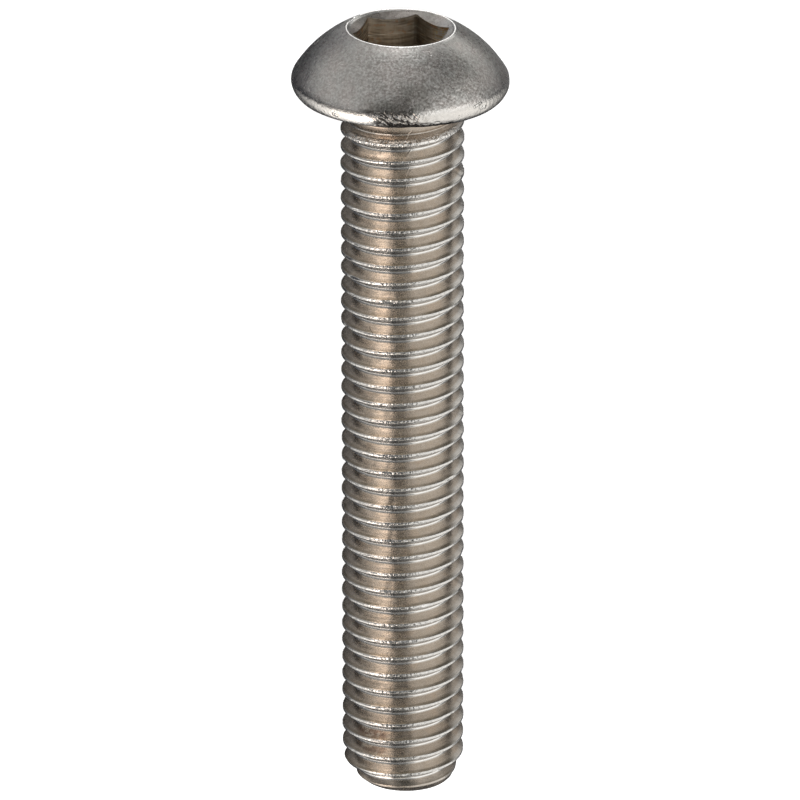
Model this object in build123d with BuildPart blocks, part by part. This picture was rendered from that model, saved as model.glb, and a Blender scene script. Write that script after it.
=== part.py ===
from build123d import *
import os
from math import asin, atan2, cos, degrees, hypot, pi, radians, sin, sqrt, tan

# M12 x 70 hexagon socket button head screw, threaded to the head, lying as it comes to
# rest: on the rim of its head and on the last full crest of its thread.
# Millimetres, +Z up, the floor at Z = 0, head towards -X, end of the thread towards +X.

# ---- thread and shank
thread_d = 11.70          # major diameter of the rolled M12 thread (6g: 11.70 to 11.97)
neck_d = 10.86            # unthreaded neck under the head, the rolling blank's diameter
neck_l = 1.20             # bearing face to the start of the thread's run-in
underhead_fillet = 0.60   # radius between the neck and the bearing face
length = 70.60            # bearing face to the end (nominal 70, made to +-0.95)
lead_in_l = 2.70          # stretch at the end on which the crest is not yet full
lead_in_d = 10.20         # crest diameter where that stretch meets the end chamfer
chamfer_l = 0.55          # end chamfer, along the axis
end_d = 8.90              # flat end face

# ---- head
head_d = 20.50            # across the widest point (20.48 to 21.00)
head_h = 6.32             # bearing face to the socket's rim (6.24 to 6.60)
rim_r = 1.50              # rounding of the head's widest edge
rim_z = 1.15              # height of that rounding's centre, the widest point
dome_cz = -4.35           # centre of the spherical dome, on the axis below the bearing face

# ---- socket
hex_af = 8.03             # across flats
hex_depth = 4.40          # socket's rim to the end of the flats
hex_turn = 11.5           # angle of one corner from the screw's cross axis, degrees
floor_drop = 0.25         # depth of the shallow cone at the bottom of the socket
mouth_r = 5.12            # radius of the socket's rim, the head's highest edge
mouth_edge = 0.16         # rounding of that edge
sink_half = 60.0          # half angle of the countersink at the mouth, degrees

# ---- resting tilt: the line that touches the rim rounding and the last full crest
rim_cr = head_d / 2 - rim_r
full_l = length - lead_in_l
side_a, side_b, side_c = rim_cr - thread_d / 2, rim_r, full_l + rim_z
tilt = atan2(side_a, side_c) + asin(side_b / hypot(side_a, side_c))
rest_z = full_l * sin(tilt) + thread_d / 2 * cos(tilt)
reach_head = head_h * cos(tilt) + mouth_r * sin(tilt)
reach_end = length * cos(tilt) + end_d / 2 * sin(tilt)
rest_x = (reach_head - reach_end) / 2

# The screw's own frame: origin at the centre of the bearing face, its Z along the axis
# towards the socket, its X level across the screw (row +Y), its Y towards the floor.
screw = Plane(
    origin=(rest_x, 0, rest_z),
    x_dir=(0, 1, 0),
    z_dir=(-cos(tilt), 0, sin(tilt)),
)
# Half section: radius along the sketch's X, height along the axis on its Y.
section = Plane(origin=screw.origin, x_dir=screw.x_dir, z_dir=-screw.y_dir)
axis = Axis(screw.origin, screw.z_dir)

# ---- points of the half section
dome_r = hypot(rim_cr, rim_z - dome_cz) + rim_r
dome_dir = atan2(rim_z - dome_cz, rim_cr)
dome_end = (rim_cr + rim_r * cos(dome_dir), rim_z + rim_r * sin(dome_dir))
bearing_r = rim_cr + sqrt(rim_r**2 - rim_z**2)
dome_start = (mouth_r, dome_cz + sqrt(dome_r**2 - mouth_r**2))
sink_start = (mouth_r - mouth_edge, dome_start[1] - mouth_edge * 0.55)
sink_apex = (0, sink_start[1] - sink_start[0] / tan(radians(sink_half)))
mouth_mid = (mouth_r - mouth_edge * 0.42, dome_start[1] + mouth_edge * 0.02)


def on_arc(cr, cz, r, a):
    return (cr + r * cos(a), cz + r * sin(a))


dome_a0 = atan2(dome_start[1] - dome_cz, dome_start[0])
dome_mid = on_arc(0, dome_cz, dome_r, (dome_a0 + dome_dir) / 2)
rim_a1 = -asin(rim_z / rim_r)
rim_mid = on_arc(rim_cr, rim_z, rim_r, (dome_dir + rim_a1) / 2)
neck_r, crest_r = neck_d / 2, thread_d / 2
fil = underhead_fillet
fil_mid = (neck_r + fil * (1 - cos(pi / 4)), -fil * (1 - sin(pi / 4)))

with BuildPart() as button_head_screw:
    with BuildSketch(section):
        with BuildLine():
            Line(sink_apex, sink_start)
            ThreePointArc(sink_start, mouth_mid, dome_start)
            ThreePointArc(dome_start, dome_mid, dome_end)
            ThreePointArc(dome_end, rim_mid, (bearing_r, 0))
            Line((bearing_r, 0), (neck_r + fil, 0))
            ThreePointArc((neck_r + fil, 0), fil_mid, (neck_r, -fil))
            Polyline(
                (neck_r, -fil),
                (neck_r, -neck_l),
                (crest_r, -neck_l - (crest_r - neck_r)),
                (crest_r, -full_l),
                (lead_in_d / 2, -length + chamfer_l),
                (end_d / 2, -length),
                (0, -length),
                sink_apex,
            )
        make_face()
    revolve(axis=axis)
    # hexagon socket: flats, then the shallow cone under them
    with BuildSketch(screw.offset(head_h + 1)):
        RegularPolygon(hex_af / 2, 6, major_radius=False, rotation=hex_turn)
    extrude(amount=-(hex_depth + 1), mode=Mode.SUBTRACT)
    with BuildSketch(section):
        with BuildLine():
            Polyline(
                (0, head_h - hex_depth + 0.2),
                (hex_af / 2 - 0.06, head_h - hex_depth + 0.2),
                (hex_af / 2 - 0.06, head_h - hex_depth),
                (0, head_h - hex_depth - floor_drop),
                close=True,
            )
        make_face()
    revolve(axis=axis, mode=Mode.SUBTRACT)
button_head_screw.part.label = "button_head_screw"

os.makedirs("parts", exist_ok=True)
export_step(button_head_screw.part, "parts/button_head_screw.step")

box = button_head_screw.part.bounding_box()
print("tilt deg", round(degrees(tilt), 4), "rest x z", round(rest_x, 4), round(rest_z, 4))
print("box", [round(v, 3) for v in (*box.min, *box.max)], "volume", round(button_head_screw.part.volume, 1))
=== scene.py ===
from math import asin, atan2, cos, degrees, hypot, pi, radians, sin, sqrt, tan

import bpy
import numpy as np
from mathutils import Matrix, Vector


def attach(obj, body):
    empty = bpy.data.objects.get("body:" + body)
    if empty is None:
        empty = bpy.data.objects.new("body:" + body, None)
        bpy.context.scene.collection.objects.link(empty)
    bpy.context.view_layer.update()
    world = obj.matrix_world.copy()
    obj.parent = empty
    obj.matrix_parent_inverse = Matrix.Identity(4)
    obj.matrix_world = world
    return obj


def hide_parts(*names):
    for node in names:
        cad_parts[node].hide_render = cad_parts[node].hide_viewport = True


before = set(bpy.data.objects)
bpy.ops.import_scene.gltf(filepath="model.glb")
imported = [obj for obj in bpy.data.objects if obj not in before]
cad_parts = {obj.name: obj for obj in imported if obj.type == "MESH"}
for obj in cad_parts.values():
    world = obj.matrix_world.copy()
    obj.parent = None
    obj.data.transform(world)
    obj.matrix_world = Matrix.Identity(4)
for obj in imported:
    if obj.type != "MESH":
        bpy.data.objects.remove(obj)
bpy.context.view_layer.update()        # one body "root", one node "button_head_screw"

# =======================================================================================
# The screw's own frame, as in part.py: origin at the centre of the bearing face, z along
# the axis towards the socket, x level across the screw, y towards the floor. Lengths here
# are millimetres; placed() turns points into the row frame in metres.
# =======================================================================================
THREAD_D, NECK_D, NECK_L, FILLET = 11.70, 10.86, 1.20, 0.60
LENGTH, LEAD_IN_L, LEAD_IN_D, CHAMFER_L, END_D = 70.60, 2.70, 10.20, 0.55, 8.90
HEAD_D, HEAD_H, RIM_R, RIM_Z, DOME_CZ = 20.50, 6.32, 1.50, 1.15, -4.35
HEX_AF, HEX_DEPTH, HEX_TURN, FLOOR_DROP = 8.03, 4.40, 11.5, 0.25
MOUTH_R, MOUTH_EDGE, SINK_HALF = 5.12, 0.16, 60.0
PITCH = 1.75

RIM_CR = HEAD_D / 2 - RIM_R
FULL_L = LENGTH - LEAD_IN_L
_a, _b, _c = RIM_CR - THREAD_D / 2, RIM_R, FULL_L + RIM_Z
TILT = atan2(_a, _c) + asin(_b / hypot(_a, _c))
ORIGIN = np.array([
    ((HEAD_H * cos(TILT) + MOUTH_R * sin(TILT)) - (LENGTH * cos(TILT) + END_D / 2 * sin(TILT))) / 2,
    0.0,
    FULL_L * sin(TILT) + THREAD_D / 2 * cos(TILT),
])
AX = np.array([0.0, 1.0, 0.0])
AZ = np.array([-cos(TILT), 0.0, sin(TILT)])
AY = np.cross(AZ, AX)


def placed(p):
    p = np.asarray(p, float)
    return (ORIGIN + p[..., 0:1] * AX + p[..., 1:2] * AY + p[..., 2:3] * AZ) / 1000.0


def turned(v):
    v = np.asarray(v, float)
    return v[..., 0:1] * AX + v[..., 1:2] * AY + v[..., 2:3] * AZ


# ---------------------------------------------------------------------------------------
# Camera: a long lens on the front of the screw, 23 degrees above its cross plane
# ---------------------------------------------------------------------------------------
F_PX, DIST, ELEV, ROLL = 9642.373, 915.988, radians(22.737), radians(-0.062)
OFF_X, OFF_Y, AIM = 0.247, -1.470, np.array([0.0, 0.0, -33.0])

c_fw = np.array([0, cos(ELEV), -sin(ELEV)])
c_up = np.array([0, sin(ELEV), cos(ELEV)])
c_rt = np.array([1.0, 0, 0])
eye = AIM - DIST * c_fw - OFF_X * c_rt - OFF_Y * c_up
i_rt = c_rt * cos(ROLL) + c_up * sin(ROLL)
i_up = -c_rt * sin(ROLL) + c_up * cos(ROLL)

cam_data = bpy.data.cameras.new("camera")
cam_data.sensor_width = 36.0
cam_data.lens = 36.0 * F_PX / 800.0
cam_data.clip_start, cam_data.clip_end = 0.01, 20.0
cam = bpy.data.objects.new("camera", cam_data)
bpy.context.scene.collection.objects.link(cam)
R = np.stack([turned(i_rt), turned(i_up), -turned(c_fw)], 1)
m = Matrix([list(R[0]) + [0], list(R[1]) + [0], list(R[2]) + [0], [0, 0, 0, 1]])
cam.matrix_world = Matrix.Translation(Vector(placed(eye))) @ m
bpy.context.scene.camera = cam


# ---------------------------------------------------------------------------------------
# Seeded value noise
# ---------------------------------------------------------------------------------------
_tables = {}


def table(seed):
    if seed not in _tables:
        _tables[seed] = np.random.RandomState(seed).uniform(-1, 1, 65536)
    return _tables[seed]


def noise1(x, seed):
    t = table(seed)
    i = np.floor(x).astype(np.int64)
    f = x - i
    f = f * f * (3 - 2 * f)
    return t[i % 65536] * (1 - f) + t[(i + 1) % 65536] * f


def noise2(x, y, seed):
    t = table(seed)
    i, j = np.floor(x).astype(np.int64), np.floor(y).astype(np.int64)
    f, g = x - i, y - j
    f, g = f * f * (3 - 2 * f), g * g * (3 - 2 * g)

    def h(a, b):
        return t[(a * 7919 + b * 26251 + 13) % 65536]

    return (h(i, j) * (1 - f) + h(i + 1, j) * f) * (1 - g) + (h(i, j + 1) * (1 - f) + h(i + 1, j + 1) * f) * g


def noise3(p, seed):
    t = table(seed)
    i = np.floor(p).astype(np.int64)
    f = p - i
    f = f * f * (3 - 2 * f)
    out = 0.0
    for dx in (0, 1):
        for dy in (0, 1):
            for dz in (0, 1):
                h = t[((i[..., 0] + dx) * 7919 + (i[..., 1] + dy) * 26251 + (i[..., 2] + dz) * 45007 + 13) % 65536]
                w = (f[..., 0] if dx else 1 - f[..., 0]) * (f[..., 1] if dy else 1 - f[..., 1])
                out = out + h * w * (f[..., 2] if dz else 1 - f[..., 2])
    return out


def step(a, b, x):
    t = np.clip((x - a) / (b - a), 0, 1)
    return t * t * (3 - 2 * t)


def soft_min(a, b, k):
    h = np.clip(0.5 + 0.5 * (b - a) / k, 0, 1)
    return b * (1 - h) + a * h - k * h * (1 - h)


# ---------------------------------------------------------------------------------------
# The rolled thread: radius at height z and angle th (from x towards y)
# ---------------------------------------------------------------------------------------
CREST_R, NECK_R = THREAD_D / 2, NECK_D / 2
PITCH_R = 5.335
ROOT_ROUND = 0.18
ROOT_R = PITCH_R - (PITCH / 4) * sqrt(3) + ROOT_ROUND
START_Z = -6.309                # height of a crest at th = 0


def helix(z, th):
    """Offset from the nearest crest (mm, + is towards the head) and the angle run along the helix."""
    k = (START_Z + PITCH * th / (2 * pi) - z) / PITCH
    n = np.round(k)
    return (n - k) * PITCH, th - 2 * pi * n


def crest_limit(z):
    lead = CREST_R - (CREST_R - LEAD_IN_D / 2) * np.clip((-FULL_L - z) / (LEAD_IN_L - CHAMFER_L), 0, 1)
    c = -LENGTH + CHAMFER_L - z
    end = LEAD_IN_D / 2 - (LEAD_IN_D - END_D) / 2 * np.clip(c / CHAMFER_L, 0, 1)
    return np.where(c > 0, end, lead)


_rs = np.random.RandomState(11)
DENTS = []
for _ in range(560):
    turn = -_rs.uniform(0.2, 39.5) * 2 * pi
    big = _rs.rand() < 0.14
    DENTS.append((
        turn,
        _rs.uniform(0.4, 1.0) if big else _rs.uniform(0.22, 0.5),
        _rs.uniform(0.07, 0.14) if big else _rs.uniform(0.02, 0.07),
        _rs.uniform(-0.13, 0.13),
    ))


def dented(run, d):
    """How far the crest is knocked in."""
    out = np.zeros(run.shape)
    order = np.argsort(run, axis=None)
    r = run.ravel()[order]
    flat, dd = out.ravel(), d.ravel()
    for a0, w, depth, off in DENTS:
        lo, hi = np.searchsorted(r, [a0 - w / CREST_R, a0 + w / CREST_R])
        if hi > lo:
            k = order[lo:hi]
            x = (r[lo:hi] - a0) * CREST_R / w
            flat[k] = np.maximum(flat[k], depth * (1 - x * x) ** 2 * np.exp(-(((dd[k] - off) / 0.17) ** 2)))
    return flat.reshape(run.shape)


def thread_r(z, th):
    d, run = helix(z, th)
    a = np.abs(d)
    e = PITCH / 2 - a
    arc = ROOT_R + ROOT_ROUND - np.sqrt(np.maximum(ROOT_ROUND**2 - np.minimum(e, ROOT_ROUND) ** 2, 0))
    flank = PITCH_R + (PITCH / 4 - a) * sqrt(3)
    prof = np.where(e < ROOT_ROUND * cos(pi / 6), arc, flank)
    # the crest, not evenly filled by the rolling
    fill = 0.016 * noise1(run * 1.9, 3) + 0.010 * noise1(run * 5.7, 4)
    top = CREST_R - 0.020 + fill - 1.2 * d * d
    seam = 0.5 + 0.5 * noise1(run * 2.3, 5)
    top = top - 0.035 * seam * np.exp(-(((d - 0.03 * noise1(run * 3.1, 6)) / 0.05) ** 2))
    r = soft_min(prof, top, 0.08) - dented(run, d)
    # run-out under the head: the whole profile fades into the neck
    full = step(-1.3, -3.6, z)
    up = step(-1.2, -3.0, z)
    r = NECK_R + np.where(r > NECK_R, (r - NECK_R) * up, (r - NECK_R) * full)
    r = soft_min(r, crest_limit(z), 0.05)
    return np.minimum(r, CREST_R)


# ---------------------------------------------------------------------------------------
# Rings of the head, from the middle of the socket's floor out to the neck
# ---------------------------------------------------------------------------------------
NS = 136                        # columns round the shank
NH = 2 * NS                     # columns round the head
TH0 = radians(HEX_TURN)
th_h = TH0 + np.arange(NH) * 2 * pi / NH
th_s = TH0 + np.arange(NS) * 2 * pi / NS

dome_r = hypot(RIM_CR, RIM_Z - DOME_CZ) + RIM_R
dome_dir = atan2(RIM_Z - DOME_CZ, RIM_CR)
dome_top_z = DOME_CZ + sqrt(dome_r**2 - MOUTH_R**2)
dome_a0 = atan2(dome_top_z - DOME_CZ, MOUTH_R)
bearing_r = RIM_CR + sqrt(RIM_R**2 - RIM_Z**2)
rim_a1 = -asin(RIM_Z / RIM_R)
lip_r, lip_w = 5.24, 0.36         # the coined lip round the socket's mouth
lip_z = DOME_CZ + sqrt(dome_r**2 - lip_r**2)
lip_a0 = atan2(lip_z - DOME_CZ, lip_r)
sink_r = lip_r - lip_w
sink_z = dome_top_z - MOUTH_EDGE * 0.55 - (MOUTH_R - MOUTH_EDGE - sink_r) / tan(radians(SINK_HALF))


def hex_r(th):
    """Radius of the hexagon's wall, its corners slightly rounded."""
    a = np.mod(th - TH0 + pi / 6, pi / 3) - pi / 6           # from the nearest corner
    flat = HEX_AF / 2 / np.cos(pi / 6 - np.abs(a))
    rc = 0.22
    rc_c = (HEX_AF / 2 - rc) / cos(pi / 6)                    # centre of the corner's arc
    arc = rc_c * np.cos(a) + np.sqrt(np.maximum(rc**2 - (rc_c * np.sin(a)) ** 2, 0))
    return np.where(np.abs(a) < asin(rc * sin(pi / 6) / 4.6), np.minimum(arc, flat), flat)


rings = []                      # (r, z, th, part)
floor_z = HEAD_H - HEX_DEPTH
one = np.ones(NH)
R_hex = hex_r(th_h)
wall_top = sink_z - (sink_r - R_hex) / tan(radians(SINK_HALF))

for k in (0.35, 0.7, 0.93):
    rr = (HEX_AF / 2 - 0.06) * k
    rings.append((rr * one, (floor_z - FLOOR_DROP * (1 - k)) * one, "socket"))
rings.append((np.minimum(R_hex - 0.10, HEX_AF / 2 - 0.06 + (R_hex - HEX_AF / 2) * 0.7), floor_z * one, "socket"))
rings.append((R_hex - 0.03, (floor_z + 0.03) * one, "socket"))
rings.append((R_hex, (floor_z + 0.12) * one, "socket"))
for k in (0.2, 0.42, 0.62, 0.8, 0.93):
    rings.append((R_hex, (floor_z + 0.12) * (1 - k) + (wall_top - 0.05) * k, "socket"))
rings.append((R_hex, wall_top - 0.05, "socket"))
rings.append((R_hex + 0.012, wall_top - 0.012, "socket"))
for k in (0.08, 0.4, 0.75):
    rings.append((R_hex * (1 - k) + sink_r * k, wall_top * (1 - k) + sink_z * k, "sink"))
rings.append((sink_r * one, sink_z * one, "sink"))
# the lip round the mouth, a little proud of dome and countersink
for k in (0.14, 0.32, 0.5, 0.68, 0.86):
    c0, c1 = (sink_r, sink_z), (lip_r, lip_z)
    mid = (5.08, dome_top_z + 0.095)
    q = [(1 - k) ** 2 * c0[i] + 2 * k * (1 - k) * mid[i] + k * k * c1[i] for i in (0, 1)]
    rings.append((q[0] * one, q[1] * one, "mouth"))
for k in np.linspace(0, 1, 23):
    a = lip_a0 + (dome_dir - lip_a0) * k
    rings.append((dome_r * cos(a) * one, (DOME_CZ + dome_r * sin(a)) * one, "dome"))
for k in np.linspace(0, 1, 16)[1:]:
    a = dome_dir + (rim_a1 - dome_dir) * k
    rings.append(((RIM_CR + RIM_R * cos(a)) * one, (RIM_Z + RIM_R * sin(a)) * one, "rim"))
for k in (0.06, 0.5, 0.95):
    rings.append(((bearing_r * (1 - k) + (NECK_R + FILLET) * k) * one, 0.0 * one, "bearing"))
for k in (0.0, 0.34, 0.67, 1.0):
    a = pi / 2 + (pi / 2) * k
    rings.append(((NECK_R + FILLET + FILLET * cos(a)) * one, (-FILLET + FILLET * sin(a)) * one, "neck"))


# ---------------------------------------------------------------------------------------
# The mesh: vertices in the screw's frame, faces and a part number for each face
# ---------------------------------------------------------------------------------------
verts, faces, parts, uvs = [], [], [], []
PARTS = {"socket": 0, "sink": 1, "mouth": 2, "dome": 3, "rim": 4, "bearing": 5, "neck": 6, "thread": 7, "end": 8}
count = 0


def add(p):
    global count
    verts.append(np.asarray(p, float).reshape(-1, 3))
    i = np.arange(count, count + len(verts[-1]))
    count += len(verts[-1])
    return i


def wrap_quads(lo, hi, part):
    """Faces between two rings of equal count; lo is nearer the socket's middle."""
    n = len(lo)
    j, k = np.arange(n), (np.arange(n) + 1) % n
    for a, b, c, d in zip(lo[j], hi[j], hi[k], lo[k]):
        faces.append((int(a), int(b), int(c), int(d)))
        parts.append(PARTS[part])


centre = add([[0, 0, floor_z - FLOOR_DROP]])[0]
ring_ids = []
for rr, zz, part in rings:
    ring_ids.append(add(np.stack([rr * np.cos(th_h), rr * np.sin(th_h), zz], 1)))
first = ring_ids[0]
for j in range(NH):
    faces.append((int(centre), int(first[j]), int(first[(j + 1) % NH])))
    parts.append(PARTS["socket"])
for n in range(1, len(rings)):
    wrap_quads(ring_ids[n - 1], ring_ids[n], rings[n][2])

# neck ring with the shank's own number of columns
neck = add(np.stack([NECK_R * np.cos(th_s), NECK_R * np.sin(th_s), np.full(NS, -0.86)], 1))
last = ring_ids[-1]
for j in range(NS):
    a, b, c = last[2 * j], last[2 * j + 1], last[(2 * j + 2) % NH]
    p, q = neck[j], neck[(j + 1) % NS]
    faces.extend([(int(a), int(p), int(b)), (int(b), int(p), int(q)), (int(b), int(q), int(c))])
    parts.extend([PARTS["neck"]] * 3)

# ---- shank: rows that follow the helix, clamped at both ends
ROWS = [0, 0.045, 0.09, 0.15, 0.71, 0.765, 0.82, 0.875, 0.93, 0.985, 1.04, 1.60, 1.66, 1.705]
Z_TOP, Z_BOT = -1.15, -LENGTH + CHAMFER_L * 0.5
turns = int((-START_Z - Z_TOP) / PITCH) + 3
n_rows = len(ROWS)
top_turn = 4                                     # whole turns above the th = 0 crest at START_Z
total = int(np.ceil((LENGTH + 8) / PITCH)) + 3
offs = np.concatenate([m * PITCH + np.array(ROWS) for m in range(total)])
zz = START_Z + PITCH * top_turn + PITCH * th_s[None, :] / (2 * pi) - offs[:, None]
snap = 0.035
cl = np.where(zz > Z_TOP - snap, Z_TOP, np.where(zz < Z_BOT + snap, Z_BOT, zz))
tt = np.broadcast_to(th_s[None, :], cl.shape)
rr = thread_r(cl, tt)
rr = np.where(cl >= Z_TOP, NECK_R, rr)

ids = -np.ones(cl.shape, np.int64)
top_ids, bot_ids = None, None
top_ids = add(np.stack([NECK_R * np.cos(th_s), NECK_R * np.sin(th_s), np.full(NS, Z_TOP)], 1))
rb = thread_r(np.full(NS, Z_BOT), th_s)
bot_ids = add(np.stack([rb * np.cos(th_s), rb * np.sin(th_s), np.full(NS, Z_BOT)], 1))
inside = (cl < Z_TOP) & (cl > Z_BOT)
pts = np.stack([rr * np.cos(tt), rr * np.sin(tt), cl], 2)
mid_ids = add(pts[inside])
ids[inside] = mid_ids
ids[cl >= Z_TOP] = np.broadcast_to(top_ids[None, :], cl.shape)[cl >= Z_TOP]
ids[cl <= Z_BOT] = np.broadcast_to(bot_ids[None, :], cl.shape)[cl <= Z_BOT]
wrap_quads(neck, top_ids, "neck")
n_total = ids.shape[0]
for j in range(NS):
    if j < NS - 1:
        nxt = ids[:, j + 1]
        cur = ids[:, j]
    else:
        # one turn on, the helix has risen by a pitch: row r meets row r + n_rows of column 0
        cur = ids[:, j]
        nxt = np.concatenate([np.full(n_rows, top_ids[0]), ids[:-n_rows, 0]])
    a, b, c, d = cur[:-1], cur[1:], nxt[1:], nxt[:-1]
    for q in zip(a, b, c, d):
        f = []
        for v in q:
            if v not in f:
                f.append(int(v))
        if len(f) >= 3:
            faces.append(tuple(f))
            parts.append(PARTS["thread"])

# ---- end: the rest of the chamfer, its edge and the flat end
chain = bot_ids
for r, z, part in (
    (END_D / 2 + 0.06, -LENGTH + 0.05, "end"),
    (END_D / 2 - 0.03, -LENGTH + 0.004, "end"),
    (END_D / 2 - 0.15, -LENGTH, "end"),
    (3.2, -LENGTH, "end"),
    (1.8, -LENGTH, "end"),
    (0.7, -LENGTH, "end"),
):
    ring = add(np.stack([r * np.cos(th_s), r * np.sin(th_s), np.full(NS, z)], 1))
    wrap_quads(chain, ring, part)
    chain = ring
end_c = add([[0, 0, -LENGTH]])[0]
for j in range(NS):
    faces.append((int(chain[j]), int(end_c), int(chain[(j + 1) % NS])))
    parts.append(PARTS["end"])

V = np.concatenate(verts)

# ---- knocks, pits and the ragged hem of the head, pressed in along the surface normal
KNOCKS = [                       # (from, (to, half width, depth)) in the shading frame
    ((-8.73, 1.36, 3.78), ((-8.32, 1.30, 4.15), 0.20, 0.10)), ((-7.95, 1.25, 4.46), ((-7.55, 1.18, 4.83), 0.24, 0.13)),
    ((7.45, -6.95, 0.92), ((7.75, -6.55, 0.85), 0.26, 0.12)), ((6.75, -7.55, 1.25), ((7.35, -6.95, 1.40), 0.15, 0.06)),
    ((-4.98, 1.85, 6.37), ((-4.80, 2.35, 6.37), 0.26, 0.11)), ((-4.3, 3.1, 6.36), ((-4.15, 3.3, 6.36), 0.20, 0.06)),
    ((-6.35, -7.95, 0.75), ((-6.1, -8.15, 0.70), 0.20, 0.06)), ((9.3, 4.1, 1.0), ((8.9, 4.9, 0.95), 0.26, 0.10)),
    ((-3.1, 9.6, 1.1), ((-2.4, 9.8, 1.1), 0.22, 0.08)), ((3.2, 4.05, 6.36), ((3.5, 3.8, 6.36), 0.18, 0.05)),
]


def press(V):
    r = np.hypot(V[:, 0], V[:, 1])
    top = step(-0.02, 0.02, V[:, 2]) * step(4.9, 5.05, r)
    on_rim = V[:, 2] < RIM_Z + 0.72
    c = np.where(on_rim, RIM_CR, 0.0)
    nr, nz = r - c, V[:, 2] - np.where(on_rim, RIM_Z, DOME_CZ)
    ln = np.maximum(np.hypot(nr, nz), 1e-6)
    n = np.stack([nr / ln * V[:, 0] / np.maximum(r, 1e-6), nr / ln * V[:, 1] / np.maximum(r, 1e-6), nz / ln], 1)
    dep = np.zeros(len(V))
    for p, (q, w, depth) in KNOCKS:
        p, q = (np.array([a[0] + 0.195 - 0.01 * a[2], a[1], a[2] + 0.01 * a[0]]) for a in (p, q))
        t = np.clip(((V - p) @ (q - p)) / ((q - p) @ (q - p)), 0, 1)
        gap = np.linalg.norm(V - (p + t[:, None] * (q - p)), axis=1)
        dep = np.maximum(dep, depth * (1 - step(0.2 * w, 1.6 * w, gap)))
    x, y, z = V.T
    ragged = step(-3.3, -2.0, x) * step(5.3, 4.0, x) * step(-6.0, -8.0, y)
    low = step(0.75, 0.30, z) * step(9.3, 9.6, r)
    dep += ragged * low * (0.05 + 0.08 * np.clip(noise2(x * 3.3, z * 2.0, 21), 0, 1))
    band_ = step(0.2, 0.5, z) * step(1.75, 1.35, z) * step(9.5, 9.8, r)
    dep += ragged * band_ * 0.055 * np.clip(noise3(V * np.array([2.6, 2.6, 2.2]), 22) * 1.6, 0, 1)
    dep += step(8.6, 9.6, r) * 0.012 * (1 + noise3(V * 0.9, 23))
    return V - n * (dep * top)[:, None]


V = press(V)

# ---- the chamfered end was turned a little off centre
V[:, :2] *= (1 - 0.065 * step(-67.7, -69.7, V[:, 2]))[:, None]
V[:, 0] += 0.30 * step(-68.9, -70.1, V[:, 2]) * step(0.0, 1.0, np.hypot(V[:, 0], V[:, 1]))
V[:, 2] += 0.17 * step(-68.9, -70.5, V[:, 2])

# ---- the head sits a little askew on the shank
s = step(-1.0, 0.0, V[:, 2])
hx, hz = V[:, 0].copy(), V[:, 2].copy()
V[:, 2] += -0.010 * hx * s
V[:, 0] += (-0.195 + 0.010 * hz) * s

mesh = bpy.data.meshes.new("screw_body")
mesh.from_pydata([tuple(p) for p in placed(V)], [], faces)
mesh.validate(verbose=True)
mesh.update()
print("verts", len(mesh.vertices), "tris", sum(len(p.vertices) - 2 for p in mesh.polygons))
obj = bpy.data.objects.new("screw_body", mesh)
bpy.context.scene.collection.objects.link(obj)
mesh.polygons.foreach_set("use_smooth", np.ones(len(mesh.polygons), bool))
import bmesh
bm = bmesh.new(); bm.from_mesh(mesh)
print("non manifold", sum(1 for e in bm.edges if not e.is_manifold), "volume mm3", bm.calc_volume() * 1e9)
bm.free()


def set_normals(mesh, crease):
    """Corner normals: faces round a vertex averaged by area, those past the crease angle left out."""
    n_p, n_l = len(mesh.polygons), len(mesh.loops)
    pn, pa = np.empty(n_p * 3), np.empty(n_p)
    mesh.polygons.foreach_get("normal", pn)
    mesh.polygons.foreach_get("area", pa)
    pn = pn.reshape(-1, 3)
    tot = np.empty(n_p, np.int32)
    mesh.polygons.foreach_get("loop_total", tot)
    lv = np.empty(n_l, np.int32)
    mesh.loops.foreach_get("vertex_index", lv)
    lp = np.repeat(np.arange(n_p), tot)
    order = np.argsort(lv, kind="stable")
    v, n, a = lv[order], pn[lp[order]], pa[lp[order]]
    acc = n * a[:, None]
    for k in range(1, 13):
        same = (v[k:] == v[:-k]) & ((n[k:] * n[:-k]).sum(1) > cos(radians(crease)))
        i = np.nonzero(same)[0]
        np.add.at(acc, i, n[i + k] * a[i + k, None])
        np.add.at(acc, i + k, n[i] * a[i, None])
    acc /= np.maximum(np.linalg.norm(acc, axis=1, keepdims=True), 1e-30)
    out = np.empty_like(acc)
    out[order] = acc
    mesh.normals_split_custom_set([tuple(x) for x in out])


set_normals(mesh, 50)

# ---------------------------------------------------------------------------------------
# Node helpers: they build in the tree that use() has opened
# ---------------------------------------------------------------------------------------
def use(tree):
    global nt, L
    nt, L = tree, tree.links
    nt.nodes.clear()


def node(kind, **kw):
    n = nt.nodes.new(kind)
    for k, v in kw.items():
        setattr(n, k, v)
    return n


def put(sock, v):
    if isinstance(v, bpy.types.NodeSocket):
        L.new(v, sock)
    elif isinstance(v, (tuple, list)) and len(v) == 3 and sock.type == "RGBA":
        sock.default_value = (*v, 1)
    else:
        sock.default_value = v


def math_(op, a, b=None, clamp=False):
    n = node("ShaderNodeMath", operation=op, use_clamp=clamp)
    put(n.inputs[0], a)
    if b is not None:
        put(n.inputs[1], b)
    return n.outputs[0]


def add_(*v):
    out = v[0]
    for x in v[1:]:
        out = math_("ADD", out, x)
    return out


def mul_(*v):
    out = v[0]
    for x in v[1:]:
        out = math_("MULTIPLY", out, x)
    return out


def dot_(a, v):
    n = node("ShaderNodeVectorMath", operation="DOT_PRODUCT")
    put(n.inputs[0], a)
    n.inputs[1].default_value = v
    return n.outputs["Value"]


def vec_(x, y, z):
    n = node("ShaderNodeCombineXYZ")
    for i, v in enumerate((x, y, z)):
        put(n.inputs[i], v)
    return n.outputs[0]


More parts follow.
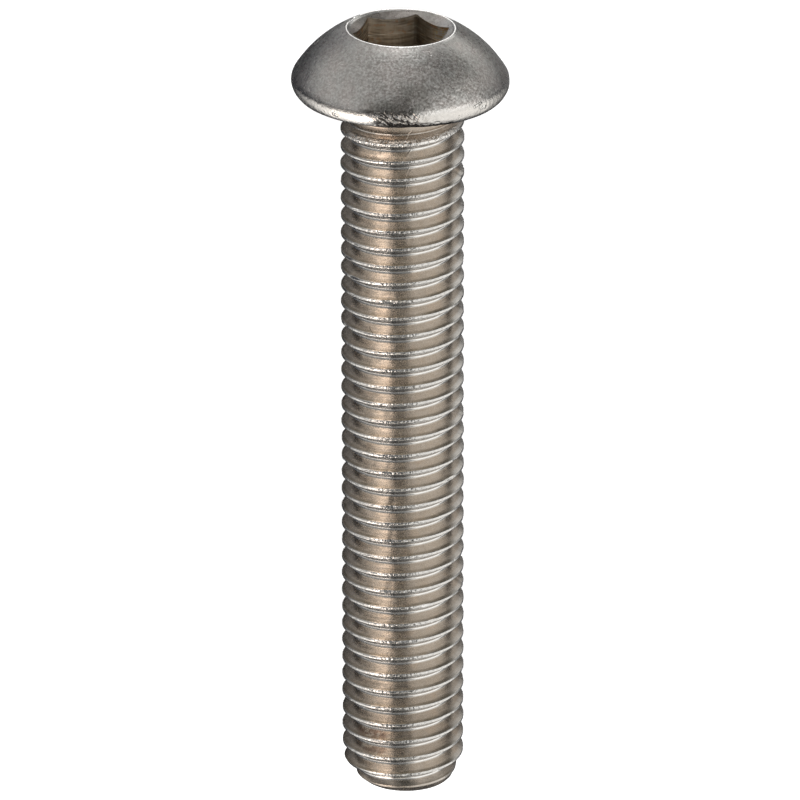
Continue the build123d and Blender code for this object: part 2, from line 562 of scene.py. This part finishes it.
def scaled(v, *k):
    n = node("ShaderNodeVectorMath", operation="MULTIPLY")
    put(n.inputs[0], v)
    n.inputs[1].default_value = k
    return n.outputs[0]


def smooth(x, a, b):
    n = node("ShaderNodeMapRange", interpolation_type="SMOOTHSTEP")
    put(n.inputs["Value"], x)
    n.inputs["From Min"].default_value, n.inputs["From Max"].default_value = a, b
    return n.outputs[0]


def band(x, a0, a1, b1, b0):
    """1 between a1 and b1, falling smoothly to 0 at a0 and b0."""
    return mul_(smooth(x, a0, a1), smooth(x, b0, b1))


def mix_(f, a, b, blend="MIX"):
    n = node("ShaderNodeMix", data_type="RGBA", blend_type=blend, clamp_factor=True)
    put(n.inputs[0], f)
    put(n.inputs[6], a)
    put(n.inputs[7], b)
    return n.outputs[2]


def lerp(f, a, b):
    n = node("ShaderNodeMapRange")
    put(n.inputs["Value"], f)
    n.inputs["To Min"].default_value, n.inputs["To Max"].default_value = a, b
    return n.outputs[0]


def grain(v, scale, detail=2.0, rough=0.5, dist=0.0):
    n = node("ShaderNodeTexNoise", noise_dimensions="3D")
    put(n.inputs["Vector"], v)
    n.inputs["Scale"].default_value = scale
    n.inputs["Detail"].default_value = detail
    n.inputs["Roughness"].default_value = rough
    n.inputs["Distortion"].default_value = dist
    return n.outputs[0]


def cells(v, scale, feature="F1"):
    n = node("ShaderNodeTexVoronoi", feature=feature)
    put(n.inputs["Vector"], v)
    n.inputs["Scale"].default_value = scale
    return n.outputs["Distance"]


def near_line(v, p, q):
    """Distance from v to the segment from p to q."""
    p, q = Vector(p), Vector(q)
    ba = q - p
    pa = node("ShaderNodeVectorMath", operation="SUBTRACT")
    put(pa.inputs[0], v)
    pa.inputs[1].default_value = p
    h = math_("MULTIPLY", dot_(pa.outputs[0], ba), 1 / ba.length_squared, clamp=True)
    sc = node("ShaderNodeVectorMath", operation="SCALE")
    sc.inputs[0].default_value = ba
    put(sc.inputs["Scale"], h)
    df = node("ShaderNodeVectorMath", operation="SUBTRACT")
    L.new(pa.outputs[0], df.inputs[0])
    L.new(sc.outputs[0], df.inputs[1])
    ln = node("ShaderNodeVectorMath", operation="LENGTH")
    L.new(df.outputs[0], ln.inputs[0])
    return ln.outputs["Value"]


def screw_frame():
    """Position in the screw's own frame, in millimetres: the vector and its x, y, z."""
    o = node("ShaderNodeVectorMath", operation="SUBTRACT")
    L.new(node("ShaderNodeTexCoord").outputs["Object"], o.inputs[0])
    o.inputs[1].default_value = tuple(ORIGIN / 1000.0)
    x, y, z = (dot_(o.outputs[0], tuple(a * 1000.0)) for a in (AX, AY, AZ))
    return vec_(x, y, z), x, y, z


def steel(name, build, edge):
    m = bpy.data.materials.new(name)
    m.use_nodes = True
    use(m.node_tree)
    out = node("ShaderNodeOutputMaterial")
    b = node("ShaderNodeBsdfPrincipled")
    b.inputs["Metallic"].default_value = 1.0
    b.inputs["Specular Tint"].default_value = (edge, edge, edge, 1.0)      # duller at grazing angles
    colour, rough, height = build()
    put(b.inputs["Base Color"], colour)
    put(b.inputs["Roughness"], rough)
    bump = node("ShaderNodeBump")
    bump.inputs["Distance"].default_value = 0.001      # heights below are in millimetres
    bump.inputs["Strength"].default_value = 1.0
    put(bump.inputs["Height"], height)
    L.new(bump.outputs[0], b.inputs["Normal"])
    L.new(b.outputs[0], out.inputs[0])
    return m


# ---------------------------------------------------------------------------------------
# Head: satin skin of fine forging and pickling grain, its rim worn bright
# ---------------------------------------------------------------------------------------
def head_steel():
    s_, x, y, z = screw_frame()
    r = math_("SQRT", add_(mul_(x, x), mul_(y, y)))
    soft = grain(s_, 0.55, 2)
    mid = grain(s_, 2.2, 3, 0.6)
    fine = grain(s_, 4.6, 2, 0.6)
    rim = mul_(smooth(r, 9.0, 9.9), smooth(z, 1.9, 1.35))
    front = smooth(grain(vec_(math_("ARCTAN2", x, mul_(y, -1.0)), 0.0, 0.37), 1.15, 1), 0.47, 0.60)
    # crackled pits where the rim was squeezed against the die
    here = math_("MAXIMUM", mul_(front, 0.32), band(x, -2.9, -1.6, 0.9, 2.6))
    crack = smooth(cells(scaled(s_, 1.5, 1.5, 0.8), 1.35, "DISTANCE_TO_EDGE"), 0.13, 0.02)
    crack = mul_(crack, smooth(grain(s_, 1.4, 1), 0.42, 0.56))
    slant = grain(vec_(mul_(add_(x, z), 3.1), mul_(add_(x, mul_(z, -1.0)), 1.15), mul_(y, 0.6)), 1.0, 2, 0.5, 0.5)
    torn = mul_(smooth(slant, 0.475, 0.515), band(x, -2.9, -2.1, 0.5, 1.5), smooth(y, -3.0, -6.0), smooth(r, 9.35, 9.60), band(z, 0.0, 0.1, 1.35, 1.75))
    seam = mul_(band(x, -4.6, -3.2, 0.6, 1.5), smooth(y, -3.0, -6.0), band(z, 1.34, 1.50, 1.66, 1.92), smooth(grain(s_, 2.0, 2), 0.30, 0.44))
    pits = mul_(smooth(grain(s_, 3.1, 2, 0.6, 0.6), 0.55, 0.66), here, rim)
    # painted shadow: a black ragged band along the rim's lower edge, where the head's underside falls into shade
    rim_hem_shadow = mul_(band(x, -2.6, -1.2, 4.2, 5.6), smooth(y, -3.0, -6.0), smooth(r, 9.35, 9.60), smooth(add_(z, mul_(grain(s_, 2.4, 2), 0.9), lerp(smooth(x, 0.8, 2.2), 0.0, 0.13)), 0.92, 0.74))
    # scratches and knocks
    lines = [
        ((2.40, -5.12, 6.00), (2.66, -5.56, 5.69), 0.10), ((4.72, -7.66, 3.19), (5.26, -8.64, 0.80), 0.07),
        ((2.05, -6.4, 5.38), (2.62, -7.2, 4.62), 0.05), ((-5.9, -5.2, 4.7), (-4.9, -5.8, 4.75), 0.05),
        ((6.9, 2.8, 4.3), (5.6, 4.9, 4.4), 0.07), ((-3.2, 7.2, 4.2), (-1.2, 7.9, 3.9), 0.06),
        ((0.6, -8.2, 3.9), (1.5, -9.3, 2.6), 0.045), ((-1.7, -8.9, 3.2), (-1.2, -9.6, 2.3), 0.045),
    ]
    cut = None
    for p, q, w in lines:
        c = smooth(near_line(s_, p, q), w, w * 0.25)
        cut = c if cut is None else math_("MAXIMUM", cut, c)
    cut = mul_(cut, smooth(grain(s_, 3.0, 1), 0.30, 0.46))
    hair = smooth(grain(scaled(s_, 0.35, 3.2, 3.2), 2.2, 2, 0.5, 1.3), 0.655, 0.69)
    colour = mix_(smooth(soft, 0.35, 0.65), (0.655, 0.622, 0.600), (0.640, 0.630, 0.610))
    colour = mix_(smooth(mid, 0.36, 0.60), mix_(1.0, colour, (0.91, 0.905, 0.90), "MULTIPLY"), colour)
    sand = mul_(lerp(mul_(smooth(x, -5.0, -1.5), smooth(y, -3.0, -6.5)), 0.62, 1.08), lerp(smooth(r, 6.9, 5.6), 1.0, 0.66))     # coarser where the die gripped
    colour = mix_(mul_(smooth(fine, 0.56, 0.38), sand), colour, mix_(1.0, colour, (0.66, 0.645, 0.635), "MULTIPLY"))
    colour = mix_(mul_(smooth(fine, 0.56, 0.68), sand, 0.7), colour, (0.86, 0.85, 0.83))
    colour = mix_(mul_(rim, 0.85), colour, (0.765, 0.745, 0.715))
    lip = band(r, 4.86, 4.93, 5.19, 5.31)
    colour = mix_(mul_(lip, 0.9), colour, (0.86, 0.85, 0.83))
    colour = mix_(mul_(math_("MAXIMUM", pits, mul_(crack, here, rim)), 0.8), colour, (0.16, 0.15, 0.14))
    colour = mix_(mul_(seam, 0.75), colour, (0.09, 0.085, 0.08))
    # near black: the painted shadow along the rim's lower edge, and the torn cracks
    colour = mix_(mul_(math_("MAXIMUM", rim_hem_shadow, torn), 0.96), colour, (0.022, 0.020, 0.018))
    colour = mix_(mul_(cut, 0.5), colour, (0.30, 0.27, 0.24))
    # darker patch on the dome's front: partly a dull film, partly a painted dark reflection
    film_and_dark_reflection = math_("MAXIMUM", mul_(band(x, -4.4, -2.8, 0.7, 1.7), band(z, 1.5, 1.7, 2.2, 2.9)), mul_(band(x, -0.8, 0.4, 2.0, 3.2), band(z, 1.6, 2.0, 3.2, 4.4)))
    film_and_dark_reflection = mul_(film_and_dark_reflection, smooth(y, -5.0, -8.0), smooth(grain(s_, 1.1, 3, 0.6), 0.30, 0.48))
    colour = mix_(film_and_dark_reflection, colour, mix_(1.0, colour, (0.66, 0.655, 0.64), "MULTIPLY"))
    # painted highlight: the dome's right side above the rim made lighter
    colour = mix_(mul_(smooth(x, 3.5, 7.0), smooth(z, 1.8, 3.2)), colour, mix_(1.0, colour, (1.13, 1.13, 1.12), "MULTIPLY"))
    # the countersink: its right side made lighter as a painted highlight, its far left corner darker as painted shade
    sink = mul_(smooth(r, 4.96, 4.86), smooth(z, 5.5, 5.7))
    sink_light_and_shade = mix_(smooth(add_(x, mul_(y, -0.6)), -0.5, -4.5),
                mix_(smooth(x, 2.6, 4.2), (0.86, 0.845, 0.83), (1.54, 1.53, 1.52)), mix_(smooth(y, 2.4, 0.8), (0.46, 0.445, 0.43), (0.93, 0.905, 0.88)))
    colour = mix_(sink, colour, mix_(1.0, colour, sink_light_and_shade, "MULTIPLY"))
    # bare metal where the edge has been knocked
    bare = None
    for p, w in KNOCKS:
        c = smooth(near_line(s_, tuple(p), tuple(w[0])), w[1] * 1.15, w[1] * 0.55)
        bare = c if bare is None else math_("MAXIMUM", bare, c)
    colour = mix_(mul_(bare, smooth(grain(s_, 3.4, 1), 0.36, 0.46), 0.9), colour, (0.95, 0.94, 0.91))
    rough = add_(lerp(mid, 0.16, 0.44), mul_(math_("MAXIMUM", rim, lip), -0.10))
    height = add_(
        mul_(soft, 0.022), mul_(mid, lerp(sand, 0.008, 0.034)), mul_(fine, sand, 0.022), mul_(grain(s_, 11.0, 1), 0.0026),
        mul_(pits, -0.05), mul_(crack, here, rim, -0.05), mul_(torn, -0.06), mul_(cut, -0.03), mul_(hair, -0.004),
        mul_(rim, grain(s_, 2.6, 3, 0.6), 0.050), mul_(bare, grain(s_, 4.0, 1), 0.22))
    return colour, rough, height


# ---------------------------------------------------------------------------------------
# Socket: punched walls, dragged along the axis, left with a brown film
# ---------------------------------------------------------------------------------------
def socket_steel():
    s_, x, y, z = screw_frame()
    drag = grain(scaled(s_, 1.0, 1.0, 0.10), 5.0, 3, 0.6)
    blot = grain(s_, 0.9, 3, 0.55)
    ring = band(z, 4.05, 4.13, 4.19, 4.27)
    colour = mix_(smooth(blot, 0.36, 0.62), (0.585, 0.53, 0.455), (0.72, 0.675, 0.605))
    colour = mix_(mul_(smooth(drag, 0.50, 0.64), 0.35), colour, (0.80, 0.77, 0.71))
    # painted shade: darker towards the socket's floor
    colour = mix_(mul_(smooth(z, 2.3, 1.95), 0.55), colour, (0.20, 0.16, 0.13))
    colour = mix_(mul_(smooth(grain(s_, 1.7, 1), 0.60, 0.68), 0.5), colour, (0.60, 0.40, 0.24))
    r = math_("SQRT", add_(mul_(x, x), mul_(y, y)))
    depth = math_("SUBTRACT", add_(mul_(r, 0.5774), 3.368), z)            # below the wall's upper edge
    # painted reflections on the back wall: lighter on its left, darker in a band to its right
    colour = mix_(mul_(smooth(x, 0.4, -0.6), smooth(y, 0.5, 2.0), 0.8), colour, mix_(1.0, colour, (1.22, 1.20, 1.17), "MULTIPLY"))
    colour = mix_(mul_(band(x, 0.0, 1.5, 2.3, 3.0), smooth(y, 0.5, 2.0)), colour, mix_(1.0, colour, (0.70, 0.70, 0.69), "MULTIPLY"))
    # painted light: the right wall and the left wall made lighter
    colour = mix_(smooth(x, 2.5, 3.4), colour, mix_(1.0, colour, (2.02, 2.01, 2.00), "MULTIPLY"))
    colour = mix_(smooth(x, -2.3, -3.2), colour, mix_(1.0, colour, (1.22, 1.21, 1.20), "MULTIPLY"))
    far = smooth(y, 0.5, 2.0)
    # painted light on the lower back wall; painted shade in a dark line near its right corner
    colour = mix_(mul_(band(x, -2.2, -1.2, 0.4, 1.0), far, band(depth, 0.5, 0.9, 1.4, 2.0)), colour, mix_(1.0, colour, (1.22, 1.22, 1.23), "MULTIPLY"))
    colour = mix_(mul_(band(x, 1.02, 1.18, 1.45, 1.85), far, 0.8), colour, mix_(1.0, colour, (0.50, 0.49, 0.47), "MULTIPLY"))
    # painted shade: darker deep in the socket, near its floor
    deep_shade = mul_(smooth(add_(depth, mul_(grain(s_, 1.3, 2), 1.2)), 2.75, 3.25), 0.35)
    colour = mix_(deep_shade, colour, (0.15, 0.12, 0.095))
    strand = grain(vec_(mul_(x, 0.06), mul_(y, 0.06), depth), 4.2, 3, 0.62)
    colour = mix_(mul_(smooth(strand, 0.52, 0.40), 0.60), colour, (0.30, 0.255, 0.20))
    colour = mix_(mul_(smooth(strand, 0.58, 0.66), 0.45), colour, (0.84, 0.80, 0.72))
    # painted shade: a dark line in the crease where the countersink meets the walls
    colour = mix_(mul_(band(depth, -0.02, 0.02, 0.06, 0.13), 0.75), colour, (0.20, 0.16, 0.12))
    # painted highlight: warm spots on the right wall just beneath its upper edge
    edge_highlight_spots = mul_(band(depth, 0.0, 0.04, 0.16, 0.30), smooth(x, 2.2, 3.0), smooth(grain(s_, 1.6, 2), 0.40, 0.52))
    colour = mix_(mul_(edge_highlight_spots, 0.7), colour, (0.62, 0.36, 0.17))
    rough = lerp(blot, 0.22, 0.46)
    height = add_(mul_(drag, 0.020), mul_(strand, 0.022), mul_(blot, 0.020), mul_(ring, 0.015), mul_(grain(s_, 6.0, 2), 0.004))
    return colour, rough, height


# ---------------------------------------------------------------------------------------
# Thread: burnished crests and roots, duller flanks with a straw tint and rolling streaks
# ---------------------------------------------------------------------------------------
def thread_steel():
    s_, x, y, z = screw_frame()
    r = math_("SQRT", add_(mul_(x, x), mul_(y, y)))
    th = math_("ARCTAN2", y, x)
    k = math_("DIVIDE", math_("SUBTRACT", add_(mul_(th, PITCH / (2 * pi)), START_Z), z), PITCH)
    n = math_("ROUND", k)
    d = mul_(math_("SUBTRACT", n, k), PITCH)                  # + is towards the head
    ad = math_("ABSOLUTE", d)
    e = math_("SUBTRACT", PITCH / 2, ad)
    along = mul_(math_("SUBTRACT", th, mul_(n, 2 * pi)), CREST_R)
    w = vec_(along, d, 0.0)
    on = mul_(smooth(z, -1.9, -3.2), smooth(z, -69.9, -69.0))  # where the thread has its full form
    crest = mul_(band(d, -0.26, -0.15, 0.12, 0.19), on)
    under = mul_(math_("MAXIMUM", smooth(d, -0.12, -0.24), smooth(d, 0.67, 0.78)), on)   # the far flank and the root
    flank = math_("SUBTRACT", 1.0, math_("MAXIMUM", crest, under))
    soft = grain(s_, 0.42, 2)
    mid = grain(s_, 1.7, 3, 0.55)
    streak = grain(scaled(w, 0.20, 4.4, 1.0), 1.3, 3, 0.6)
    fine = grain(scaled(w, 1.0, 2.0, 1.0), 4.5, 2, 0.55)
    colour = mix_(smooth(mid, 0.36, 0.64), (0.476, 0.412, 0.348), (0.530, 0.468, 0.406))
    colour = mix_(mul_(smooth(streak, 0.54, 0.36), 0.40), colour, (0.430, 0.370, 0.308))
    colour = mix_(mul_(smooth(soft, 0.56, 0.66), 0.35), colour, (0.53, 0.42, 0.325))
    colour = mix_(mul_(smooth(z, -55.0, -63.0), smooth(z, -66.8, -65.4), 0.8), colour, mix_(1.0, colour, (0.80, 0.79, 0.78), "MULTIPLY"))
    stain = mul_(band(x, -5.0, -3.8, -1.9, -1.2), smooth(y, -1.5, -3.0), math_("MAXIMUM", band(z, -64.9, -64.5, -63.3, -62.7), mul_(band(z, -66.3, -66.0, -65.6, -65.2), 0.8)))
    stain = mul_(stain, smooth(grain(s_, 1.0, 3, 0.6), 0.38, 0.50))
    colour = mix_(mul_(stain, 0.90), colour, (0.225, 0.16, 0.125))
    bright = mix_(smooth(fine, 0.34, 0.60), (0.74, 0.725, 0.70), (0.87, 0.86, 0.84))
    colour = mix_(mul_(under, 0.95), colour, mix_(smooth(d, 0.60, 0.70), bright, (0.87, 0.86, 0.84)))
    colour = mix_(crest, colour, mix_(1.0, bright, (0.86, 0.86, 0.86), "MULTIPLY"))
    # painted highlight: flanks next to the crest made lighter on the right side of the shank
    right_flank_highlight = mul_(band(d, 0.09, 0.17, 0.26, 0.44), smooth(x, 4.2, 5.0), lerp(smooth(z, -25.0, -58.0), 1.0, 0.5), on)
    colour = mix_(mul_(right_flank_highlight, 0.75), colour, (0.86, 0.845, 0.815))
    # painted shade: a dark line just off the crest on the side towards the head
    lip = mul_(band(d, 0.135, 0.175, 0.25, 0.36), lerp(grain(scaled(w, 0.5, 1.0, 1.0), 1.1, 2), -0.15, 1.35), smooth(x, 5.1, 4.3), on)
    colour = mix_(mul_(lip, 0.85), colour, (0.195, 0.165, 0.120))
    # specks in the crest's seam, thickest along one side of the shank
    knurl = mul_(band(x, -3.6, -2.2, 1.0, 2.4), smooth(y, -2.5, -4.5))
    speck = mul_(smooth(grain(scaled(w, 1.0, 1.3, 1.0), 3.3, 1), 0.53, 0.60), smooth(ad, 0.13, 0.05), lerp(knurl, 0.28, 1.0), on)
    colour = mix_(mul_(speck, 0.85), colour, (0.10, 0.095, 0.09))
    # the first crests, scuffed by handling, and a few knife-thin scratches
    scuff = mul_(band(z, -4.1, -3.7, -2.7, -2.2), smooth(y, -1.5, -3.5), smooth(grain(s_, 2.3, 2, 0.6), 0.38, 0.48))
    scuff = mul_(scuff, smooth(ad, 0.50, 0.30))
    colour = mix_(mul_(scuff, 0.85), colour, (0.88, 0.865, 0.84))
    flat = vec_(x, 0.0, z)
    scars = None
    for p, q, wd in (
        ((0.95, 0, -1.95), (0.12, 0, -3.05), 0.045), ((0.95, 0, -4.0), (0.18, 0, -4.75), 0.045),
        ((0.80, 0, -5.6), (0.10, 0, -6.8), 0.04), ((-2.3, 0, -4.05), (-1.95, 0, -4.25), 0.05),
        ((0.55, 0, -7.4), (0.05, 0, -8.3), 0.035), ((-3.1, 0, -22.2), (-2.2, 0, -22.9), 0.04),
    ):
        c = smooth(near_line(flat, p, q), wd * 1.7, wd * 0.4)
        scars = c if scars is None else math_("MAXIMUM", scars, c)
    scars = mul_(scars, smooth(y, -2.0, -3.0), smooth(grain(s_, 2.8, 1), 0.30, 0.42))
    rough = add_(0.135, mul_(flank, lerp(mid, 0.04, 0.20)), mul_(smooth(fine, 0.4, 0.6), 0.05))
    beads = grain(scaled(w, 1.0, 0.7, 1.0), 3.6, 1, 0.5)
    height = add_(
        mul_(soft, 0.030), mul_(mid, 0.010), mul_(streak, flank, 0.012), mul_(fine, 0.0016),
        mul_(beads, crest, add_(lerp(knurl, 0.0, 0.042), lerp(smooth(x, 0.0, 2.5), 0.030, 0.016))), mul_(grain(s_, 9.0, 1), 0.0006), mul_(scars, 0.035), mul_(speck, -0.01),
        mul_(scuff, grain(s_, 3.4, 2, 0.6), 0.12))
    return colour, rough, height


# ---------------------------------------------------------------------------------------
# End and chamfer: sheared blank, matt, with a few brown marks
# ---------------------------------------------------------------------------------------
def end_steel():
    s_, x, y, z = screw_frame()
    mid = grain(s_, 1.6, 3, 0.6)
    fine = grain(s_, 6.0, 2)
    tear = grain(scaled(s_, 0.5, 4.0, 1.0), 2.0, 3, 0.6)
    colour = mix_(smooth(mid, 0.36, 0.64), (0.56, 0.53, 0.49), (0.68, 0.66, 0.635))
    colour = mix_(mul_(smooth(tear, 0.56, 0.68), 0.5), colour, (0.42, 0.36, 0.30))
    rough = lerp(mid, 0.22, 0.48)
    height = add_(mul_(mid, 0.02), mul_(fine, 0.006), mul_(tear, 0.012))
    return colour, rough, height


for name, build, edge in (("head_steel", head_steel, 0.68), ("socket_steel", socket_steel, 0.80),
                          ("thread_steel", thread_steel, 0.64), ("end_steel", end_steel, 0.45)):
    mesh.materials.append(steel(name, build, edge))
OF_PART = {"socket": 1, "sink": 0, "mouth": 0, "dome": 0, "rim": 0, "bearing": 0, "neck": 2, "thread": 2, "end": 3}
number = {v: k for k, v in PARTS.items()}
mesh.polygons.foreach_set("material_index", np.array([OF_PART[number[p]] for p in parts], np.int32))

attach(obj, "root")
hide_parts("button_head_screw")

# ---------------------------------------------------------------------------------------
# floor and light
# ---------------------------------------------------------------------------------------
fm = bpy.data.meshes.new("floor")
fm.from_pydata([(-4, -4, 0), (4, -4, 0), (4, 4, 0), (-4, 4, 0)], [], [(0, 1, 2, 3)])
floor = bpy.data.objects.new("floor", fm)
bpy.context.scene.collection.objects.link(floor)
fmat = bpy.data.materials.new("floor")
fmat.use_nodes = True
fb = fmat.node_tree.nodes["Principled BSDF"]
fb.inputs["Base Color"].default_value = (0.9, 0.9, 0.9, 1)
fb.inputs["Roughness"].default_value = 1
fb.inputs["Specular IOR Level"].default_value = 0
fm.materials.append(fmat)
floor.visible_glossy = False

world = bpy.data.worlds.new("studio")
bpy.context.scene.world = world
world.use_nodes = True
world.cycles.sampling_method = "NONE"
use(world.node_tree)
tc = node("ShaderNodeTexCoord").outputs["Generated"]
xs, fs, zs = dot_(tc, tuple(AX)), dot_(tc, tuple(-AY)), dot_(tc, tuple(AZ))
az = math_("MULTIPLY", math_("ARCTAN2", xs, fs), 180 / pi)
el = math_("MULTIPLY", math_("ARCSINE", zs), 180 / pi)

# The studio, by azimuth (0 at the lens, + to its right) and elevation off the screw's cross plane


def patch(u, ua, v, va):
    return math_("MULTIPLY", band(u, *ua), band(v, *va))


def lit(base, mask, colour):
    """Adds a soft box to the room."""
    return mix_(mask, base, mix_(1.0, base, colour, "ADD"))


def shade(base, mask, keep):
    """Dims the room behind a flag."""
    return mix_(mask, base, mix_(1.0, base, keep, "MULTIPLY"))


lean = math_("ADD", az, math_("MULTIPLY", math_("MAXIMUM", math_("SUBTRACT", -30.0, el), 0.0), 0.5))
low = math_("SUBTRACT", el, math_("MULTIPLY", smooth(az, -84, -104), 7.0))
aside = math_("ABSOLUTE", az)
over = math_("MULTIPLY", math_("ARCTAN2", zs, fs), 180 / pi)          # 90 overhead, 180 behind
env = mix_(smooth(el, -2, 28), (0.08, 0.082, 0.088), (0.47, 0.465, 0.455))
env = shade(env, patch(az, (-172, -162, -146, -126), el, (-20, -6, 34, 52)), (0.56, 0.575, 0.61))
env = shade(env, patch(az, (-150, -138, -108, -88), el, (-20, -11, 14, 26)), (0.50, 0.51, 0.56))
env = shade(env, patch(az, (143, 153, 168, 178), el, (-12, 0, 14, 25)), (0.22, 0.22, 0.22))
env = lit(env, patch(az, (-140, -124, -110, -88), el, (-100, -95, -24, -6)), (0.42, 0.41, 0.395))
env = lit(env, patch(az, (-160, -140, -110, -88), el, (-100, -95, -56, -40)), (0.12, 0.12, 0.12))
env = lit(env, patch(az, (-136, -112, -44, -30), el, (8, 18, 36, 50)), (0.10, 0.10, 0.10))
env = lit(env, patch(lean, (-118, -91, -30, -22), low, (-90, -70, -26, -11)), (1.06, 1.03, 0.99))
env = lit(env, patch(az, (-90, -76, -42, -28), el, (-32, -26, -6, 8)), (0.20, 0.18, 0.16))
env = lit(env, patch(lean, (-80, -56, -32, -25), el, (-66, -50, -33, -26)), (3.55, 2.95, 2.52))
env = lit(env, patch(az, (-27, -20, 4, 14), el, (-80, -60, -36, -29)), (0.66, 0.62, 0.53))
env = lit(env, patch(az, (-13, -6, 6, 14), el, (-80, -60, -36, -26)), (0.18, 0.17, 0.155))
env = lit(env, patch(az, (3, 24, 101, 120), el, (-95, -60, -8, 6)), (0.94, 0.92, 0.88))
env = lit(env, patch(az, (46, 60, 84, 98), el, (-34, -28, -18, -8)), (0.14, 0.13, 0.12))
env = lit(env, patch(az, (96, 108, 136, 150), el, (-60, -46, -22, -6)), (0.42, 0.41, 0.39))
env = lit(env, patch(az, (12, 34, 80, 98), el, (-6, 6, 24, 44)), (0.96, 0.95, 0.93))
env = lit(env, patch(az, (-22, -12, 30, 50), el, (-14, -6, 6, 16)), (0.24, 0.24, 0.235))
env = shade(env, patch(az, (-31, -19, 16, 30), el, (14, 27, 46, 60)), (0.12, 0.13, 0.13))
env = shade(env, patch(az, (36, 70, 130, 150), el, (23, 37, 64, 78)), (0.44, 0.45, 0.45))
env = lit(env, patch(aside, (158, 167, 200, 210), el, (24, 34, 64, 78)), (1.90, 1.90, 1.88))
env = lit(env, patch(aside, (166, 174, 200, 210), el, (9, 17, 24, 34)), (1.20, 1.20, 1.19))
env = lit(env, patch(az, (-200, -190, -166, -156), el, (0, 8, 18, 26)), (0.30, 0.30, 0.30))
env = lit(env, patch(dot_(tc, tuple(AX)), (-0.34, -0.08, 0.20, 0.42), over, (92, 101, 126, 146)), (0.20, 0.20, 0.20))
env = lit(env, patch(az, (116, 130, 146, 156), el, (8, 18, 22, 33)), (0.12, 0.12, 0.12))
env = lit(env, patch(az, (140, 154, 200, 210), el, (-26, -14, 4, 14)), (0.21, 0.21, 0.21))
env = lit(env, patch(az, (124, 136, 144, 152), el, (24, 32, 38, 50)), (0.48, 0.47, 0.45))
env = lit(env, patch(az, (55, 70, 95, 110), el, (20, 28, 40, 52)), (0.10, 0.10, 0.095))
env = lit(env, patch(az, (-75, -50, 10, 30), el, (50, 58, 86, 95)), (0.035, 0.034, 0.033))
lp = node("ShaderNodeLightPath")
bg1 = node("ShaderNodeBackground")
put(bg1.inputs[0], env)
bg1.inputs[1].default_value = 1.0
bg2 = node("ShaderNodeBackground")
bg2.inputs[0].default_value = (1, 1, 1, 1)
bg2.inputs[1].default_value = 2.1
mx = node("ShaderNodeMixShader")
put(mx.inputs[0], lp.outputs["Is Glossy Ray"])
L.new(bg2.outputs[0], mx.inputs[1])
L.new(bg1.outputs[0], mx.inputs[2])
out = node("ShaderNodeOutputWorld")
L.new(mx.outputs[0], out.inputs[0])

bpy.context.scene.view_settings.view_transform = "Standard"
